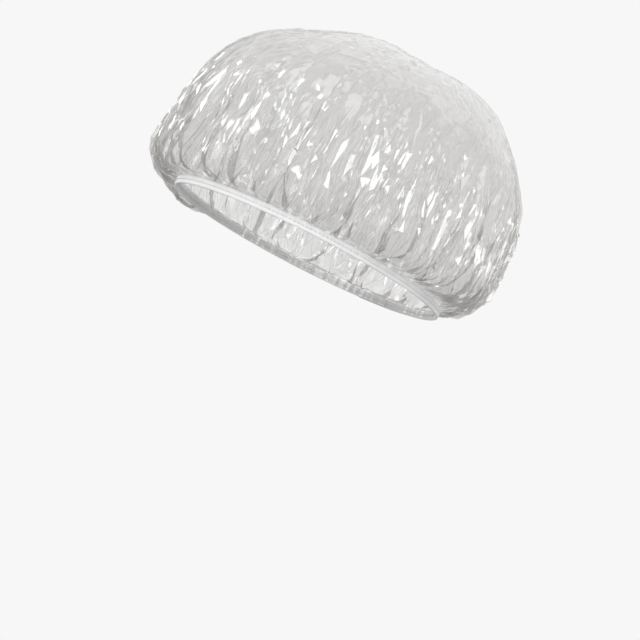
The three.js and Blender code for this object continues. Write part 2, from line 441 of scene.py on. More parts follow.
@dataclass
class CrownFilm:
    """The crown of film, settled into gathers and crushed into flat facets. Lengths are in millimetres."""

    sizes: CapSizes
    seed: int = 7
    bulge_height: float = 31.0
    setback: float = 14.0
    crown_fullness: float = 2.33
    bag_fullness: float = 3.0
    bag_droop: float = 0.8
    droop_start: float = 0.4
    pleats: int = 28
    pleat_depth: float = 4.4
    pleat_rise: float = 0.25
    pleat_top: float = 108.0
    pleat_jitter: float = 0.008
    pleat_sway: PlanWave = PlanWave(0.07, 5)
    uneven: PlanWave = PlanWave(0.25, 6)
    buckle_depth: float = 1.2
    buckles: tuple[Span, ...] = ((11, 9), (17, -13))
    inset: float = 0.8
    lowest: float = 0.4
    slack_spots: tuple[SlackSpot, ...] = (
        SlackSpot(313, 0.86, 24, -3.0),
        SlackSpot(238, 0.64, 21, -4.2),
        SlackSpot(2, 0.68, 22, 1.2),
        SlackSpot(21, 0.47, 26, -1.8),
        SlackSpot(213, 0.1, 26, -6.0),
        SlackSpot(31, -0.5, 24, -5.4),
        SlackSpot(178, -0.75, 28, 7.0),
    )
    hem_rise: float = 0.7
    hem_height: float = 5.4
    hem_rows: int = 5
    hem_step: float = 1.1
    hem_fade: Span = (0, 10)
    hem_pucker: float = 0.2
    puckers: Span = (131, 7)
    gather_depth: float = 0.4
    gather_waves: int = 113
    gather_sways: tuple[PlanWave, ...] = (PlanWave(2.2, 5), PlanWave(1.3, 13, 1))
    gather_swell: PlanWave = PlanWave(0.35, 11, 2)
    gather_zone: tuple[Span, Span] = ((1, 5), (10, 26))
    columns: int = 288
    rows: int = 57
    sweeps: tuple[int, ...] = (240, 190)
    gather: float = 0.62
    gather_power: float = 3.2
    slack: float = 1.03
    start_noise: float = 0.8
    noise_rise: Span = (0, 30)
    room_rise: Span = (0, 12)
    room_fade: Span = (30, 125)
    room_inside: Span = (1.2, 0.7)
    room_outside: Span = (1.0, 0.6)
    evening: Span = (0.04, 0.015)
    calm_top: Span = (40, 8)
    facet_squeeze: float = 0.3
    squeeze_rise: Span = (4, 14)
    squeeze_fall: Span = (60, 110)
    crush: float = 0.34
    crush_zone: tuple[Span, Span] = ((6, 20), (50, 95))
    pulled_rise: Span = (45, 90)
    pack_rise: Span = (70, 100)
    streak_stretch: float = 0.12
    sharp_fold: float = math.radians(8)
    full_crease: float = math.radians(45)
    least_crease: float = 0.4
    softest: float = 0.05
    patches: tuple[tuple[int, float], ...] = ((3, 0.05), (7, -0.09), (13, 0.16), (19, -0.23))
    zones: tuple[FacetZone, ...] = (
        FacetZone(1.2, 12, around=1.3, along=1.6, jitter=0.4),
        FacetZone(
            12, 72, around=1.8, along=2.3, jitter=0.6, keep=0.55, patchy=0.6, least=0.25, on_pleats=0.45
        ),
        FacetZone(72, 400, around=2.2, along=2.2, jitter=0.4),
    )
    layers: tuple[FacetLayer, ...] = (
        FacetLayer(FacetPlan.RINGS, across=10.0, along=18.0, depth=1.1, rise=(8, 24), fall=(60, 110)),
        FacetLayer(FacetPlan.DISC, across=15.0, along=15.0, depth=0.32, rise=(60, 110), fall=(300, 400)),
        FacetLayer(FacetPlan.DISC, across=5.0, along=5.0, depth=0.12, rise=(40, 90), fall=(300, 400)),
    )

    NAPE: ClassVar[float] = math.pi / 2
    PROFILES: ClassVar[int] = 12
    PROFILE_POINTS: ClassVar[int] = 2001
    TOP_ROW: ClassVar[float] = 0.9999
    SWAY_POINTS: ClassVar[int] = 721
    MARKS: ClassVar[int] = 400
    FEWEST: ClassVar[int] = 6
    NO_CREASE: ClassVar[float] = 99.0

    @property
    def hem_top(self) -> float:
        """Height at which the film leaves the band."""
        return self.sizes.band_width + self.hem_rise

    @cached_property
    def profile(self) -> tuple[Array, Array]:
        """Rows of the smooth crown, and the distance of each from the hem."""
        row = np.linspace(-1, 1, self.PROFILE_POINTS)
        rings = self.dome(turns(self.PROFILES)[None, :], row[:, None])
        return row, running(np.linalg.norm(np.diff(rings, axis=0), axis=-1).mean(1))

    @property
    def reach(self) -> float:
        """Length of the film from the hem to the top."""
        return self.profile[1][-1]

    def dome(self, angle: Array, row: Array) -> Array:
        """Points of the smooth crown.

        Args:
            angle: Plan angles, broadcast against the rows.
            row: Values from -1 at the top of the hem, through 0 at the widest ring, to 1 at the top.

        Returns:
            Points along the last axis.
        """
        s = self.sizes
        hem = 1 / np.hypot(np.cos(angle) / s.rim_half_width, np.sin(angle) / s.rim_half_length)
        bulge = 1 / np.hypot(np.cos(angle) / s.bulge_half_width, np.sin(angle) / s.bulge_half_length)
        low = row < 0
        power = np.where(low, 2 / self.bag_fullness, 2 / self.crown_fullness)
        turn = np.abs(row) * math.pi / 2
        across, up = np.maximum(np.cos(turn), 0) ** power, np.sin(turn) ** power
        reach = np.where(low, hem + (bulge - hem) * across, bulge * across)
        end = np.where(low, self.hem_top, s.crown_height)
        below = np.clip((-row - self.droop_start) / (1 - self.droop_start), 0, 1)
        droop = self.bag_droop * np.sin(math.pi * below) ** 2
        height = self.bulge_height + (end - self.bulge_height) * up - droop + 0 * angle
        back = np.where(low, 0, self.setback * np.sin(turn) ** 2)
        return np.stack([reach * np.cos(angle), reach * np.sin(angle) + back, height], -1)

    def grid(self, columns: int, rows: int) -> tuple[Array, Array, Array]:
        """Crown with its pleats and slack places, on a grid of even rows.

        Args:
            columns: Points round each ring.
            rows: Rings from the hem to the top.

        Returns:
            Points, outward normals, and the distance of each row from the hem.
        """
        row, along = self.profile
        away = np.linspace(0, self.reach, rows)
        even = np.minimum(np.interp(away, along, row), self.TOP_ROW)
        angle = turns(columns)
        points = self.dome(angle[None, :], even[:, None])
        free = ease(away, *self.hem_fade)[:, None]
        swell = self.pleat_heights(angle[None, :], points[..., 2]) - self.inset * free
        for spot in self.slack_spots:
            middle = self.dome(np.array(math.radians(spot.angle)), np.array(spot.row))
            swell = swell + spot.heights(points, middle) * free
        points = points + self.normals(points) * swell[..., None]
        points[..., 2] = np.maximum(points[..., 2], self.lowest)
        return points, self.normals(points), away

    @staticmethod
    def normals(points: Array) -> Array:
        """Outward normals of a grid of points."""
        around = np.roll(points, -1, 1) - np.roll(points, 1, 1)
        return unit(np.cross(around, np.gradient(points, axis=0)))

    def pleat_heights(self, angle: Array, height: Array) -> Array:
        """How far the main pleats stand out.

        Args:
            angle: Plan angles.
            height: Heights above the lower edge of the band.

        Returns:
            Distances out of the smooth crown.
        """
        full = self.hem_top + (self.bulge_height - self.hem_top) * self.pleat_rise
        share = between(height, (self.hem_top, full), (self.bulge_height, self.pleat_top))
        depth = 1 - self.uneven.size + self.uneven.size * np.cos(self.uneven.crests * (angle - self.NAPE))
        zigzag = 1 - 4 * np.abs(np.mod(self.pleat_number(angle) + 0.5, 1) - 0.5)
        buckle = sum(np.sin(crests * angle + height / rise) for crests, rise in self.buckles)
        swing = self.pleat_depth / 2 * depth * zigzag
        return share * (swing + self.buckle_depth * (buckle / len(self.buckles)))

    def pleat_number(self, angle: Array) -> Array:
        """Number of the pleat at a plan angle, from 0 at the nape, whole on a crest and half in a valley."""
        turn = np.linspace(0, TURN, self.SWAY_POINTS)
        swayed = turn + self.pleat_sway.at(turn)
        return self.pleats / TURN * np.interp(np.mod(angle - self.NAPE, TURN), swayed, turn)

    def pleat_angle(self, number: Array) -> Array:
        """Plan angle of a pleat's number."""
        turn = number * TURN / self.pleats
        return self.NAPE + turn + self.pleat_sway.at(turn)

    def excess(self, away: Any) -> Any:
        """How many times longer the film is than the smooth ring at a distance from the hem."""
        return 1 + self.gather * np.clip(1 - away / self.reach, 0, 1) ** self.gather_power

    def lengths(self, smooth: Array, away: Array) -> list[tuple[Array, Array, Array]]:
        """Pairs of grid points that the film keeps at a length, in sets that share no point.

        Args:
            smooth: Grid of the smooth crown.
            away: Distance of each row from the hem.

        Returns:
            First points, second points and lengths of each set.
        """
        rows, columns = smooth.shape[:2]
        number = np.arange(rows * columns).reshape(rows, columns)
        beside = np.roll(number, -1, 1)
        flat = smooth.reshape(-1, 3)
        wide = self.excess(away)[:, None] * np.linalg.norm(flat[beside] - flat[number], axis=-1)
        tall = self.slack * np.linalg.norm(flat[number[1:]] - flat[number[:-1]], axis=-1)
        slant = np.hypot((wide[1:] + wide[:-1]) / 2, tall)
        sets = [(number[1:, part::2], beside[1:, part::2], wide[1:, part::2]) for part in (0, 1)]
        for part in (slice(0, None, 2), slice(1, None, 2)):
            for low, high, rest in (number, number, tall), (number, beside, slant), (beside, number, slant):
                sets.append((low[:-1][part], high[1:][part], rest[part]))
        return [(first.ravel(), second.ravel(), rest.ravel()) for first, second, rest in sets]

    def relax(self, points: Array, sweeps: int) -> Array:
        """Lets the film settle at its own lengths, close about the smooth crown.

        Args:
            points: Starting grid of points.
            sweeps: How many times every length is put right.

        Returns:
            The settled grid.
        """
        smooth, normal, away = self.grid(points.shape[1], points.shape[0])
        rise, fade = ease(away, *self.room_rise)[:, None], ease(away, *self.room_fade)[:, None]
        inside, outside = (rise * (low - drop * fade) for low, drop in (self.room_inside, self.room_outside))
        upward, around = self.evening
        sets = self.lengths(smooth, away)
        film = points.copy()
        for _ in range(sweeps):
            flat = film.reshape(-1, 3)
            for first, second, rest in sets:
                gap = flat[second] - flat[first]
                length = np.sqrt((gap * gap).sum(1))
                move = gap * (0.5 * (length - rest) / np.maximum(length, TINY))[:, None]
                flat[first] += move
                flat[second] -= move
            lift = ((film - smooth) * normal).sum(-1)
            evened = lift.copy()
            evened[1:-1] += upward * (lift[2:] + lift[:-2] - 2 * lift[1:-1])
            evened += around * (np.roll(lift, 1, 1) + np.roll(lift, -1, 1) - 2 * lift)
            film += (np.clip(evened, -inside, outside) - lift)[..., None] * normal
            film[0] = smooth[0]
            film[-1] = film[-1].mean(0)
        return film

    @staticmethod
    def doubled(points: Array) -> Array:
        """Puts a point between every two of a grid, on smooth curves.

        Args:
            points: Grid of points.

        Returns:
            The finer grid.
        """
        around = np.empty((points.shape[0], 2 * points.shape[1], 3))
        around[:, ::2] = points
        near = points + np.roll(points, -1, 1)
        far = np.roll(points, 1, 1) + np.roll(points, -2, 1)
        around[:, 1::2] = (9 * near - far) / 16
        padded = np.concatenate([2 * around[:1] - around[1:2], around, 2 * around[-1:] - around[-2:-1]])
        upward = np.empty((2 * around.shape[0] - 1, around.shape[1], 3))
        upward[::2] = around
        upward[1::2] = (9 * (padded[1:-2] + padded[2:-1]) - padded[:-3] - padded[3:]) / 16
        return upward

    def settled(self, rng: Rng) -> Array:
        """Runs the relaxation from a coarse grid to a fine one.

        Args:
            rng: Source of the draws.

        Returns:
            The settled grid, calm again close to the top.
        """
        points, normal, away = self.grid(self.columns, self.rows)
        noise = rng.normal(0, self.start_noise, points.shape[:2]) * ease(away, *self.noise_rise)[:, None]
        points = points + normal * noise[..., None]
        for sweeps in self.sweeps:
            points = self.doubled(self.relax(points, sweeps))
        smooth, _, away = self.grid(points.shape[1], points.shape[0])
        start, end = (self.reach - gap for gap in self.calm_top)
        return points + ease(away, start, end)[:, None, None] * (smooth - points)

    def scatter(self, girth: Callable[[float], float], rng: Rng) -> Array:
        """Corner places of the film's facets.

        Args:
            girth: Gives the length of the film round the ring at a distance from the hem.
            rng: Source of the draws.

        Returns:
            Distance from the hem, plan angle and room to the next corner, one corner a row.
        """
        corners = [np.array([[self.reach, 0.0, 1.0]])]
        waves = [(crests, rise, rng.uniform(0, TURN)) for crests, rise in self.patches]
        for zone in self.zones:
            for far in np.arange(zone.start, min(zone.end, self.reach - zone.along), zone.along):
                count = max(self.FEWEST, round(float(girth(far)) / zone.around))
                turn = (np.arange(count) + rng.uniform(-zone.jitter, zone.jitter, count)) / count * TURN
                if zone.on_pleats:
                    fold = self.pleat_angle(np.round(2 * self.pleat_number(turn)) / 2)
                    fold = fold + rng.normal(0, self.pleat_jitter, count)
                    turn = np.where(rng.uniform(0, 1, count) < zone.on_pleats, fold, turn)
                row = far + zone.along * rng.uniform(-zone.jitter, zone.jitter, count)
                patch = sum(np.sin(crests * turn + rise * far + lag) for crests, rise, lag in waves)
                share = np.clip(zone.keep + zone.patchy * (patch / len(waves)), zone.least, 1)
                keep = rng.uniform(0, 1, count) < share
                corners.append(np.stack([row, turn, 1 / np.sqrt(share)], -1)[keep])
        count = round(float(girth(0.0)) / self.hem_step)
        turn = np.arange(count) / count * TURN
        for far in np.linspace(-self.hem_height, 0, self.hem_rows):
            corners.append(np.stack([np.full(count, far), turn, np.ones(count)], -1))
        return np.concatenate(corners)

    @staticmethod
    def sampled(field: Array, row: Array, angle: Array) -> Array:
        """Values of a grid at places between its points.

        Args:
            field: Grid of vectors.
            row: Row numbers, which may lie between two rows.
            angle: Plan angles.

        Returns:
            One value a row.
        """
        low = np.clip(row.astype(int), 0, field.shape[0] - 2)
        column = np.mod(angle / TURN, 1) * field.shape[1]
        left = column.astype(int) % field.shape[1]
        right = (left + 1) % field.shape[1]
        up, side = (row - low)[:, None], (column - column.astype(int))[:, None]
        lower, upper = (field[ring, left] * (1 - side) + field[ring, right] * side for ring in (low, low + 1))
        return lower * (1 - up) + upper * up

    def facets(self, away: Array, angle: Array) -> tuple[Array, Array]:
        """Joins the corners into facets that are long up the film and narrow round it.

        Args:
            away: Distance of each corner from the hem.
            angle: Plan angle of each corner.

        Returns:
            Triangles, and the numbers of the corners that they use in their order.
        """
        mark = np.linspace(-self.hem_height, self.reach, self.MARKS)
        squeeze = (1 - self.facet_squeeze) * ease(mark, *self.squeeze_rise)
        rate = 1 - squeeze * (1 - ease(mark, *self.squeeze_fall))
        far = running((rate[1:] + rate[:-1]) / 2 * np.diff(mark))
        radius = far[-1] - np.interp(away, mark, far)
        faces, order = joined(radius[:, None] * compass(angle))
        return np.array(faces), np.array(order)

    def crease_gaps(self, points: Array, faces: Array) -> Array:
        """Distance from each corner of a facet to the creases along its three sides.

        Args:
            points: Corner places.
            faces: Triangles.

        Returns:
            Three distances for each corner of each triangle, wider for a softer crease.
        """
        total = len(faces)
        corners = points[faces]
        cross = np.cross(corners[:, 1] - corners[:, 0], corners[:, 2] - corners[:, 0])
        normal = unit(cross)
        sides = np.concatenate([faces[:, [1, 2]], faces[:, [2, 0]], faces[:, [0, 1]]])
        low, high = sides.min(1).astype(np.int64), sides.max(1)
        order = np.argsort(low * len(points) + high, kind="stable")
        low, high = low[order], high[order]
        same = np.flatnonzero((low[1:] == low[:-1]) & (high[1:] == high[:-1]))
        first, second = order[same], order[same + 1]
        bend = np.zeros(3 * total)
        turn = np.arccos(np.clip((normal[first % total] * normal[second % total]).sum(1), -1, 1))
        bend[first] = bend[second] = turn
        length = np.linalg.norm(points[sides[:, 0]] - points[sides[:, 1]], axis=1)
        height = np.tile(np.linalg.norm(cross, axis=1), 3) / np.maximum(length, TINY)
        share = np.clip(bend / self.full_crease, 0, 1)
        height = (height / np.maximum(share, self.softest)).reshape(3, total)
        gaps = np.zeros((total, 3, 3))
        for side in range(3):
            gaps[:, side, side] = height[side]
            gaps[share.reshape(3, total)[side] < self.least_crease, :, side] = self.NO_CREASE
        return gaps.reshape(-1, 3)

    def gathers(self, angle: Array) -> Array:
        """Heights of the small gathers that the seam draws into the film, at plan angles."""
        sway = sum(wave.at(angle) for wave in self.gather_sways)
        strength = 1 - self.gather_swell.size + self.gather_swell.at(angle)
        return self.gather_depth * strength * np.sin(self.gather_waves * angle + sway)

    def build(self) -> Piece:
        """Makes the film's mesh.

        Returns:
            The sheet of film.
        """
        rng = np.random.default_rng(self.seed)
        settled = self.settled(rng)
        smooth, normal, rows = self.grid(settled.shape[1], settled.shape[0])
        rings = np.linalg.norm(np.roll(smooth, -1, 1) - smooth, axis=-1).sum(1)
        reach = self.reach
        corners = self.scatter(lambda far: np.interp(far, rows, rings) * self.excess(far), rng)
        faces, order = self.facets(corners[:, 0], corners[:, 1])
        away, angle, room = corners[order].T
        row = np.clip(away, 0, reach) / reach * (len(rows) - 1)
        points, outward = (self.sampled(field, row, angle) for field in (settled, normal))
        flat = (reach - away)[:, None] * compass(angle)
        lift = sum(layer.heights(away, angle, reach, rng) for layer in self.layers)
        lift += rng.normal(0, self.crush, len(away)) * room * between(away, *self.crush_zone)
        lift += PulledFolds().heights(flat, rng) * ease(away, *self.pulled_rise)
        lift += self.gathers(angle) * between(away, *self.gather_zone)
        lift += PackCreases().heights(flat) * ease(away, *self.pack_rise)
        points = points + outward * lift[:, None]
        hem = away < 0
        points[hem, 2] += away[hem]
        fine, broad = (np.sin(crests * angle[hem]) for crests in self.puckers)
        points[hem, :2] *= (1 - self.hem_pucker * (1 + fine * broad) / self.sizes.rim_half_length)[:, None]
        upward = self.streak_stretch * away / self.sizes.bulge_half_width
        course = np.concatenate([compass(angle), upward[:, None]], 1)
        values = {
            "flat_film": np.concatenate([flat, away[:, None]], 1) * MM,
            "meridian": course * self.sizes.bulge_half_width * MM,
        }
        piece = new_piece("crown_film_sheet", points, faces.tolist(), values)
        gaps = piece.data.attributes.new("crease_gap", "FLOAT_VECTOR", "CORNER")
        gaps.data.foreach_set("vector", self.crease_gaps(points, faces).astype(np.float32).ravel())
        piece.data.set_sharp_from_angle(angle=self.sharp_fold)
        LOG.info("crown film: %d facets, %.0f mm from hem to top", len(faces), reach)
        return piece


@dataclass
class ElasticBand:
    """Flat braid over four rubber strands, lapped at the nape. Lengths are in millimetres."""

    sizes: CapSizes
    rim: RimLine
    thickness: float = 1.7
    film_gap: float = 0.7
    strands: int = 4
    strand_diameter: float = 0.4
    strand_pitch: float = 1.2
    strand_proud: float = 0.35
    strand_sides: int = 8
    strand_stride: int = 4
    lap_length: float = 18.0
    lap_ramp: float = 24.0
    lap_lift: float = 2.0
    lap_end: float = 3.0
    step: float = 0.3
    squareness: float = 0.55
    flank: float = 1.2
    rim_turn: float = 0.35
    plait_pitch: float = 1.35
    plait_depth: float = 0.11
    plait_slant: float = 1.1
    valley_depth: float = 0.16
    valley_power: int = 4
    hole_depth: float = 0.22
    hole_radius: float = 0.55
    section_sides: int = 30

    @property
    def middle(self) -> float:
        """Distance of the middle of the braid outside the hem."""
        return self.film_gap + self.thickness / 2

    def lift(self, distance: Array) -> Array:
        """How far the upper end of the lap stands out at a distance along the strip."""
        start = self.rim.length - self.lap_length / 2 - self.lap_ramp
        return self.lap_lift * ease(distance, start, start + self.lap_ramp)

    def cover(self, distance: Array) -> Array:
        """Offset of the outermost face of the elastic, lap included.

        Args:
            distance: Distances from the nape.

        Returns:
            One offset for each distance.
        """
        start = self.lap_length / 2
        over = 1 - ease(distance, start, start + self.lap_end)
        over = np.where(distance < self.rim.length / 2, over, 0)
        return self.middle + self.thickness / 2 + np.maximum(self.lap_lift * over, self.lift(distance))

    def strip(self, inset: float) -> Array:
        """Distances along the strip, from end to end, each end drawn in by an inset."""
        half = self.lap_length / 2 - inset
        return np.linspace(-half, self.rim.length + half, int((self.rim.length + 2 * half) / self.step))

    def build_braid(self, stitch: float) -> Piece:
        """Makes the braided cover, with its plait, its four swells and the dents of the needle holes.

        Args:
            stitch: Distance between two needle holes.

        Returns:
            The braid.
        """
        strip = self.strip(0)
        along = strip[:, None]
        turn = turns(self.section_sides)
        way = compass(turn)
        out, up = way.T
        half = np.array([self.thickness, self.sizes.band_width]) / 2
        section = np.sign(way) * np.abs(way) ** self.squareness * half
        facing = unit(np.stack([np.sign(out) * np.abs(out) ** self.flank, self.rim_turn * up], -1))
        across = section[:, 1] / self.strand_pitch
        column = np.abs(across - np.round(across - 0.5) - 0.5)
        chevron = np.cos(TURN * (along / self.plait_pitch + self.plait_slant * column * np.sign(out)))
        valley = self.valley_depth * (2 * column) ** self.valley_power
        hole = np.abs(np.mod(along / stitch, 1) - 0.5) * stitch - stitch / 2
        dent = np.exp(-(hole**2 + section[:, 1] ** 2) / self.hole_radius**2) * (out > 0)
        relief = self.plait_depth * (0.5 * chevron - 0.5) - valley - self.hole_depth * dent
        path = self.rim.place(strip, self.middle + self.lift(strip), self.sizes.band_width / 2)
        points, faces = swept(path, self.rim.outward(strip), section + facing * relief[..., None])
        return new_piece("braided_cover", points, faces, strand_values(strip, turn))

    def build_strands(self) -> list[Piece]:
        """Makes the rubber strands, whose cut ends stand out of the braid.

        Returns:
            The strands, from the lowest up.
        """
        along = self.strip(-self.strand_proud)[:: self.strand_stride]
        section = compass(turns(self.strand_sides)) * self.strand_diameter / 2
        pieces = []
        for index in range(self.strands):
            height = self.sizes.band_width / 2 + (index - (self.strands - 1) / 2) * self.strand_pitch
            path = self.rim.place(along, self.middle + self.lift(along), height)
            points, faces = swept(path, self.rim.outward(along), section)
            pieces.append(new_piece(f"rubber_core_{index + 1}", points, faces, {}))
        return pieces


@dataclass
class Stitching:
    """Lockstitch row through the band and the hem, and the tack on the lap. Lengths are in millimetres."""

    band: ElasticBand
    diameter: float = 0.42
    stitch: float = 2.4
    rise: float = 0.2
    sink: float = 0.6
    hole_reach: float = 0.92
    twist_pitch: float = 0.95
    ply_depth: float = 0.16
    step: float = 0.16
    sides: int = 10
    tack_length: float = 5.0
    tack_height: float = 3.0
    tack_zigzags: int = 5
    tack_bite: int = 8
    zigzag_points: int = 40
    hem_face: float = 0.45

    @property
    def height(self) -> float:
        """Height of the stitch row."""
        return self.band.sizes.band_width / 2

    def dipped(self, share: Array) -> Array:
        """How far a thread stands out of its face, by the share of the dip into a needle hole."""
        return self.rise - (self.rise + self.sink) * share

    def thread(self, name: str, path: Array, outward: Array) -> Piece:
        """Makes a two-ply thread along a path.

        Args:
            name: Name of the piece.
            path: Points of the path.
            outward: Outward direction at each point.

        Returns:
            The thread.
        """
        along = distances(path)
        turn = turns(self.sides)
        lobes = np.cos(2 * (turn[None, :] - TURN * along[:, None] / self.twist_pitch))
        radius = self.diameter / 2 * (1 - self.ply_depth + self.ply_depth * lobes)
        points, faces = swept(path, outward, radius[..., None] * compass(turn))
        return new_piece(name, points, faces, strand_values(along, turn))

    def row(self, name: str, along: Array, face: Any, side: int) -> Piece:
        """Makes a row of stitches that dip into the work at each needle hole.

        Args:
            name: Name of the piece.
            along: Distances of its points from the nape.
            face: Offset of the face that the row lies on, one number or one for each point.
            side: 1 on an outer face, -1 on an inner one.

        Returns:
            The row of thread.
        """
        hole = np.abs(np.mod(along / self.stitch + 0.5, 1) - 0.5) * self.stitch
        offset = face + side * self.dipped(np.exp(-((hole / self.hole_reach) ** 2)))
        path = self.band.rim.place(along, offset, self.height)
        return self.thread(name, path, self.band.rim.outward(along))

    def build(self) -> dict[str, Piece]:
        """Makes the two rows and the tack.

        Returns:
            The pieces by the names of the nodes that they stand for.
        """
        rim, end = self.band.rim, self.tack_length / 2 + self.diameter
        count = int((rim.length - 2 * end) / self.step)
        outer, inner = (np.linspace(gap, rim.length - gap, count) for gap in (end, self.diameter))
        needle = self.row("needle_stitches", outer, self.band.cover(outer), 1)
        bobbin = self.row("bobbin_stitches", inner, -self.hem_face, -1)
        share = np.linspace(0, 1, self.zigzag_points * self.tack_zigzags)
        swing = np.cos(share * self.tack_zigzags * TURN)
        where = (share - 0.5) * self.tack_length
        face = self.band.middle + self.band.thickness / 2 + self.band.lap_lift
        offset = face + self.dipped(np.abs(swing) ** self.tack_bite)
        path = rim.place(where, offset, self.height + self.tack_height / 2 * swing)
        tack = self.thread("tack_stitches", path, rim.outward(where))
        return {"needle_thread": needle, "bobbin_thread": bobbin, "lap_tack": tack}


class Wiring:
    """Adds nodes to one shader tree and links them."""

    def __init__(self, tree: bpy.types.NodeTree) -> None:
        """Keeps the tree of a material, a world or a node group."""
        self.tree = tree

    def node(self, kind: str, inputs: dict[Any, Any] | None = None, **settings: Any) -> bpy.types.Node:
        """Adds a node.

        Args:
            kind: Blender's name of the node type.
            inputs: Values of its inputs, where a socket is linked and anything else is set.
            settings: Values of its properties.

        Returns:
            The new node.
        """
        made = self.tree.nodes.new(kind)
        for key, value in settings.items():
            setattr(made, key, value)
        self.fill(made, inputs or {})
        return made

    def fill(self, node: bpy.types.Node, inputs: dict[Any, Any]) -> None:
        """Feeds a node's inputs.

        Args:
            node: The node.
            inputs: Values of its inputs, where a socket is linked and anything else is set.
        """
        for key, value in inputs.items():
            if isinstance(value, Socket):
                self.tree.links.new(value, node.inputs[key])
            else:
                node.inputs[key].default_value = value

    def math(self, operation: str, first: Any, second: Any = 0.0) -> Socket:
        """Result of a sum on two values or sockets."""
        return self.node("ShaderNodeMath", {0: first, 1: second}, operation=operation).outputs[0]

    def vector(self, operation: str, first: Any, second: Any) -> Any:
        """Outputs of a sum on two vectors."""
        return self.node("ShaderNodeVectorMath", {0: first, 1: second}, operation=operation).outputs

    def blend(self, share: Any, first: Colour, second: Colour) -> Socket:
        """Colour between two colours."""
        made = self.node("ShaderNodeMix", {0: share, 6: (*first, 1), 7: (*second, 1)}, data_type="RGBA")
        return made.outputs[2]

    def spread(self, value: Any, low: float, high: float) -> Socket:
        """A share from 0 to 1, laid between two numbers."""
        return self.node("ShaderNodeMapRange", {0: value, 3: low, 4: high}).outputs[0]

    def attribute(self, name: str, output: str = "Fac") -> Socket:
        """A value that the mesh carries."""
        return self.node("ShaderNodeAttribute", attribute_name=name).outputs[output]

    def bump(self, height: Any, distance: float, **inputs: Any) -> Socket:
        """Normal of a surface that is raised by a height."""
        return self.node("ShaderNodeBump", {"Height": height, "Distance": distance, **inputs}).outputs[0]

    def mixed(self, share: Socket, first: Any, second: Any, output: str) -> None:
        """Puts a mix of two shaders on the tree's output node."""
        mix = self.node("ShaderNodeMixShader", {0: share, 1: first.outputs[0], 2: second.outputs[0]})
        self.fill(self.tree.nodes[output], {"Surface": mix.outputs[0]})


class Effects:
    """Node groups that several finishes share."""

    MIDDLE_TONES: ClassVar[Span] = (0.34, 0.66)

    def __init__(self) -> None:
        """Builds the groups once."""
        self.mottle = self.soft_mottle()
        self.twist = self.yarn_twist()

    @staticmethod
    def shell(name: str, inputs: dict[str, str]) -> tuple[Wiring, Any, bpy.types.Node]:
        """Makes an empty group that puts out a mask.

        Args:
            name: Name of the group.
            inputs: Names and kinds of its inputs.

        Returns:
            The wiring, the given values and the output node.
        """
        tree = bpy.data.node_groups.new(name, "ShaderNodeTree")
        for key, kind in inputs.items():
            tree.interface.new_socket(key, in_out="INPUT", socket_type=f"NodeSocket{kind}")
        tree.interface.new_socket("Mask", in_out="OUTPUT", socket_type="NodeSocketFloat")
        wiring = Wiring(tree)
        return wiring, wiring.node("NodeGroupInput").outputs, wiring.node("NodeGroupOutput")

    def soft_mottle(self) -> bpy.types.NodeTree:
        """Makes the group for an uneven tone, from a coarse and a fine noise.

        Returns:
            The group.
        """
        w, given, result = self.shell("soft_mottle", {"Place": "Vector", "Coarse": "Float", "Fine": "Float"})
        noises = [
            w.node("ShaderNodeTexNoise", {"Vector": given["Place"], "Scale": given[key]}).outputs[0]
            for key in ("Coarse", "Fine")
        ]
        mean = w.math("MULTIPLY", w.math("ADD", *noises), 0.5)
        low, high = self.MIDDLE_TONES
        w.fill(result, {"Mask": w.node("ShaderNodeMapRange", {0: mean, 1: low, 2: high}).outputs[0]})
        return w.tree

    def yarn_twist(self) -> bpy.types.NodeTree:
        """Makes the group for slanting fibres along a yarn or a thread, whose mask raises the fibres and,
        where a finish mixes it into its colour, paints shade in the grooves between them.

        Returns:
            The group.
        """
        w, given, result = self.shell("yarn_twist", {"Pitch": "Float", "Slant": "Float"})
        along = w.math("DIVIDE", w.attribute("along"), given["Pitch"])
        around = w.math("MULTIPLY", w.attribute("around"), given["Slant"])
        wave = w.math("SINE", w.math("MULTIPLY", w.math("ADD", along, around), TURN))
        w.fill(result, {"Mask": w.math("MULTIPLY", w.math("ADD", wave, 1.0), 0.5)})
        return w.tree

    @staticmethod
    def put(wiring: Wiring, group: bpy.types.NodeTree, inputs: dict[str, Any]) -> Socket:
        """Places a group in a finish, with values or sockets for its inputs, and gives its mask."""
        made = wiring.node("ShaderNodeGroup", node_tree=group)
        wiring.fill(made, inputs)
        return made.outputs["Mask"]

    def tone(self, wiring: Wiring, grain: Span, place: Socket | None = None) -> Socket:
        """Uneven tone of a finish.

        Args:
            wiring: Wiring of the finish.
            grain: Scales of the coarse and the fine noise.
            place: Where the noise is read, or none for the object's own places.

        Returns:
            The mask's socket.
        """
        if place is None:
            place = wiring.node("ShaderNodeTexCoord").outputs["Object"]
        return self.put(wiring, self.mottle, {"Place": place, "Coarse": grain[0], "Fine": grain[1]})


def new_finish(name: str) -> tuple[Material, Wiring, bpy.types.Node]:
    """Makes a material with a Principled shader, and gives its wiring and the shader."""
    material = bpy.data.materials.new(name)
    material.use_nodes = True
    return material, Wiring(material.node_tree), material.node_tree.nodes["Principled BSDF"]


